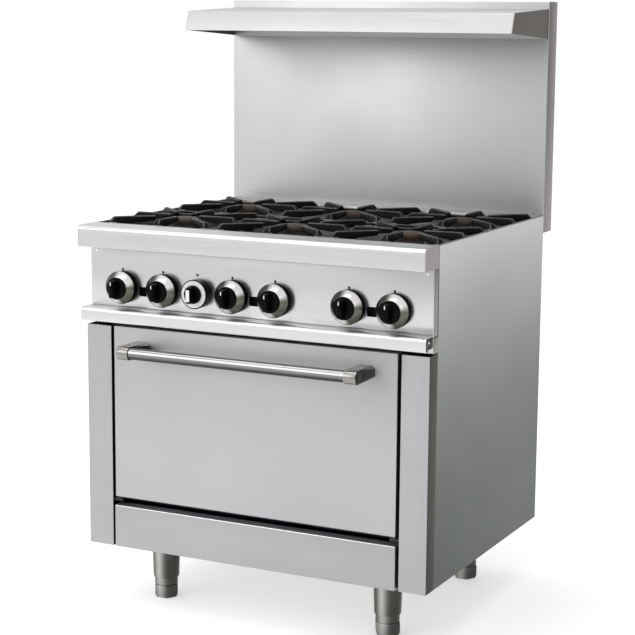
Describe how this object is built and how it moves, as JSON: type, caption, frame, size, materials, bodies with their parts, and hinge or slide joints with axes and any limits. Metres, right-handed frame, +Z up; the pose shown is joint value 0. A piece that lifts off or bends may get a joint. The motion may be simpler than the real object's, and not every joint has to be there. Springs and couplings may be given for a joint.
{
  "type": "commercial gas range",
  "caption": "Free-standing stainless gas range with open burners under cast grates, an oven with a drop-down door, a pull-out crumb tray and a high shelf.",
  "frame": {"origin": "on the floor, under the middle of the whole range's box", "axes": "+X to the right seen from the front, -Y out of the oven door, +Z up"},
  "size_m": [0.914, 0.892, 1.499],
  "materials": {
    "back_panel": "dull coated sheet",
    "backguard": "brushed",
    "base_frame": "dull coated sheet",
    "burner_front_left": "bare casting",
    "burner_front_middle": "bare casting",
    "burner_front_right": "bare casting",
    "burner_rear_left": "bare casting",
    "burner_rear_middle": "bare casting",
    "burner_rear_right": "bare casting",
    "control_panel": "brushed",
    "cooktop_frame": "brushed",
    "crumb_tray": "brushed",
    "door_handle_bar": "polished",
    "door_hinge_left": "dull coated sheet",
    "door_hinge_right": "dull coated sheet",
    "door_liner": "dull coated sheet",
    "door_skin": "brushed",
    "foot_front_left": "polished",
    "foot_front_right": "polished",
    "foot_rear_left": "polished",
    "foot_rear_right": "polished",
    "front_rail": "brushed",
    "gas_manifold": "black pipe",
    "gas_valve_front_left": "machined",
    "gas_valve_front_middle": "machined",
    "gas_valve_front_right": "machined",
    "gas_valve_rear_left": "machined",
    "gas_valve_rear_middle": "machined",
    "gas_valve_rear_right": "machined",
    "grate_front_left": "matt black",
    "grate_front_middle": "matt black",
    "grate_front_right": "matt black",
    "grate_rear_left": "matt black",
    "grate_rear_middle": "matt black",
    "grate_rear_right": "matt black",
    "handle_bracket_left": "polished",
    "handle_bracket_right": "polished",
    "kick_plate": "brushed",
    "knob_front_left": "black",
    "knob_front_middle": "black",
    "knob_front_right": "black",
    "knob_rear_left": "black",
    "knob_rear_middle": "black",
    "knob_rear_right": "black",
    "leg_front_left": "polished",
    "leg_front_right": "polished",
    "leg_rear_left": "polished",
    "leg_rear_right": "polished",
    "oven_burner": "bare casting",
    "oven_deck": "dull coated sheet",
    "oven_gas_line": "dull coated sheet",
    "oven_liner": "dark blue enamel",
    "oven_rack": "plated wire",
    "shelf": "brushed",
    "side_panel_left": "brushed",
    "side_panel_right": "brushed",
    "stile_left": "brushed",
    "stile_right": "brushed",
    "thermostat": "dull coated sheet",
    "thermostat_knob": "black"
  },
  "bodies": {
    "body": {"back_panel": "back_panel", "backguard": "backguard", "base_frame": "base_frame", "burner_front_left": "burner_front_left", "burner_front_middle": "burner_front_middle", "burner_front_right": "burner_front_right", "burner_rear_left": "burner_rear_left", "burner_rear_middle": "burner_rear_middle", "burner_rear_right": "burner_rear_right", "control_panel": "control_panel", "cooktop_frame": "cooktop_frame", "front_rail": "front_rail", "gas_manifold": "gas_manifold", "gas_valve_front_left": "gas_valve_front_left", "gas_valve_front_middle": "gas_valve_front_middle", "gas_valve_front_right": "gas_valve_front_right", "gas_valve_rear_left": "gas_valve_rear_left", "gas_valve_rear_middle": "gas_valve_rear_middle", "gas_valve_rear_right": "gas_valve_rear_right", "kick_plate": "kick_plate", "leg_front_left": "leg_front_left", "leg_front_right": "leg_front_right", "leg_rear_left": "leg_rear_left", "leg_rear_right": "leg_rear_right", "oven_burner": "oven_burner", "oven_deck": "oven_deck", "oven_gas_line": "oven_gas_line", "oven_liner": "oven_liner", "shelf": "shelf", "side_panel_left": "side_panel_left", "side_panel_right": "side_panel_right", "stile_left": "stile_left", "stile_right": "stile_right", "thermostat": "thermostat"},
    "door": {"door_skin": "door_skin", "door_liner": "door_liner", "door_handle_bar": "door_handle_bar", "handle_bracket_left": "handle_bracket_left", "handle_bracket_right": "handle_bracket_right", "door_hinge_left": "door_hinge_left", "door_hinge_right": "door_hinge_right"},
    "crumb_tray": {"crumb_tray": "crumb_tray"},
    "oven_rack": {"oven_rack": "oven_rack"},
    "thermostat_knob": {"thermostat_knob": "thermostat_knob"},
    "knob_front_left": {"knob_front_left": "knob_front_left"},
    "grate_front_left": {"grate_front_left": "grate_front_left"},
    "knob_front_middle": {"knob_front_middle": "knob_front_middle"},
    "grate_front_middle": {"grate_front_middle": "grate_front_middle"},
    "knob_front_right": {"knob_front_right": "knob_front_right"},
    "grate_front_right": {"grate_front_right": "grate_front_right"},
    "knob_rear_left": {"knob_rear_left": "knob_rear_left"},
    "grate_rear_left": {"grate_rear_left": "grate_rear_left"},
    "knob_rear_middle": {"knob_rear_middle": "knob_rear_middle"},
    "grate_rear_middle": {"grate_rear_middle": "grate_rear_middle"},
    "knob_rear_right": {"knob_rear_right": "knob_rear_right"},
    "grate_rear_right": {"grate_rear_right": "grate_rear_right"},
    "foot_front_left": {"foot_front_left": "foot_front_left"},
    "foot_front_right": {"foot_front_right": "foot_front_right"},
    "foot_rear_left": {"foot_rear_left": "foot_rear_left"},
    "foot_rear_right": {"foot_rear_right": "foot_rear_right"}
  },
  "joints": [
    {"name": "door_hinge", "type": "hinge", "parent": "body", "child": "door", "pos_m": [0, -0.3455, 0.272], "axis": [1, 0, 0], "range_deg": [0, 90], "stiffness_Nm_per_rad": 5, "springref_deg": -34.38},
    {"name": "crumb_tray_slide", "type": "slide", "parent": "body", "child": "crumb_tray", "axis": [0, -1, 0], "range_m": [0, 0.45]},
    {"name": "oven_rack_slide", "type": "slide", "parent": "body", "child": "oven_rack", "axis": [0, -1, 0], "range_m": [0, 0.024]},
    {"name": "thermostat_turn", "type": "hinge", "parent": "body", "child": "thermostat_knob", "pos_m": [-0.1524, -0.3345, 0.8045], "axis": [0, -1, 0], "range_deg": [0, 300]},
    {"name": "knob_front_left_turn", "type": "hinge", "parent": "body", "child": "knob_front_left", "pos_m": [-0.36195, -0.3345, 0.8045], "axis": [0, -1, 0], "range_deg": [0, 90]},
    {"name": "knob_front_middle_turn", "type": "hinge", "parent": "body", "child": "knob_front_middle", "pos_m": [-0.05715, -0.3345, 0.8045], "axis": [0, -1, 0], "range_deg": [0, 90]},
    {"name": "knob_front_right_turn", "type": "hinge", "parent": "body", "child": "knob_front_right", "pos_m": [0.24765, -0.3345, 0.8045], "axis": [0, -1, 0], "range_deg": [0, 90]},
    {"name": "knob_rear_left_turn", "type": "hinge", "parent": "body", "child": "knob_rear_left", "pos_m": [-0.24765, -0.3345, 0.8045], "axis": [0, -1, 0], "range_deg": [0, 90]},
    {"name": "knob_rear_middle_turn", "type": "hinge", "parent": "body", "child": "knob_rear_middle", "pos_m": [0.05715, -0.3345, 0.8045], "axis": [0, -1, 0], "range_deg": [0, 90]},
    {"name": "knob_rear_right_turn", "type": "hinge", "parent": "body", "child": "knob_rear_right", "pos_m": [0.36195, -0.3345, 0.8045], "axis": [0, -1, 0], "range_deg": [0, 90]},
    {"name": "grate_front_left_lift", "type": "slide", "parent": "body", "child": "grate_front_left", "axis": [0, 0, 1], "range_m": [0, 0.1]},
    {"name": "grate_front_middle_lift", "type": "slide", "parent": "body", "child": "grate_front_middle", "axis": [0, 0, 1], "range_m": [0, 0.1]},
    {"name": "grate_front_right_lift", "type": "slide", "parent": "body", "child": "grate_front_right", "axis": [0, 0, 1], "range_m": [0, 0.1]},
    {"name": "grate_rear_left_lift", "type": "slide", "parent": "body", "child": "grate_rear_left", "axis": [0, 0, 1], "range_m": [0, 0.1]},
    {"name": "grate_rear_middle_lift", "type": "slide", "parent": "body", "child": "grate_rear_middle", "axis": [0, 0, 1], "range_m": [0, 0.1]},
    {"name": "grate_rear_right_lift", "type": "slide", "parent": "body", "child": "grate_rear_right", "axis": [0, 0, 1], "range_m": [0, 0.1]},
    {"name": "foot_front_left_screw", "type": "slide", "parent": "body", "child": "foot_front_left", "axis": [0, 0, -1], "range_m": [0, 0.025]},
    {"name": "foot_front_right_screw", "type": "slide", "parent": "body", "child": "foot_front_right", "axis": [0, 0, -1], "range_m": [0, 0.025]},
    {"name": "foot_rear_left_screw", "type": "slide", "parent": "body", "child": "foot_rear_left", "axis": [0, 0, -1], "range_m": [0, 0.025]},
    {"name": "foot_rear_right_screw", "type": "slide", "parent": "body", "child": "foot_rear_right", "axis": [0, 0, -1], "range_m": [0, 0.025]}
  ]
}
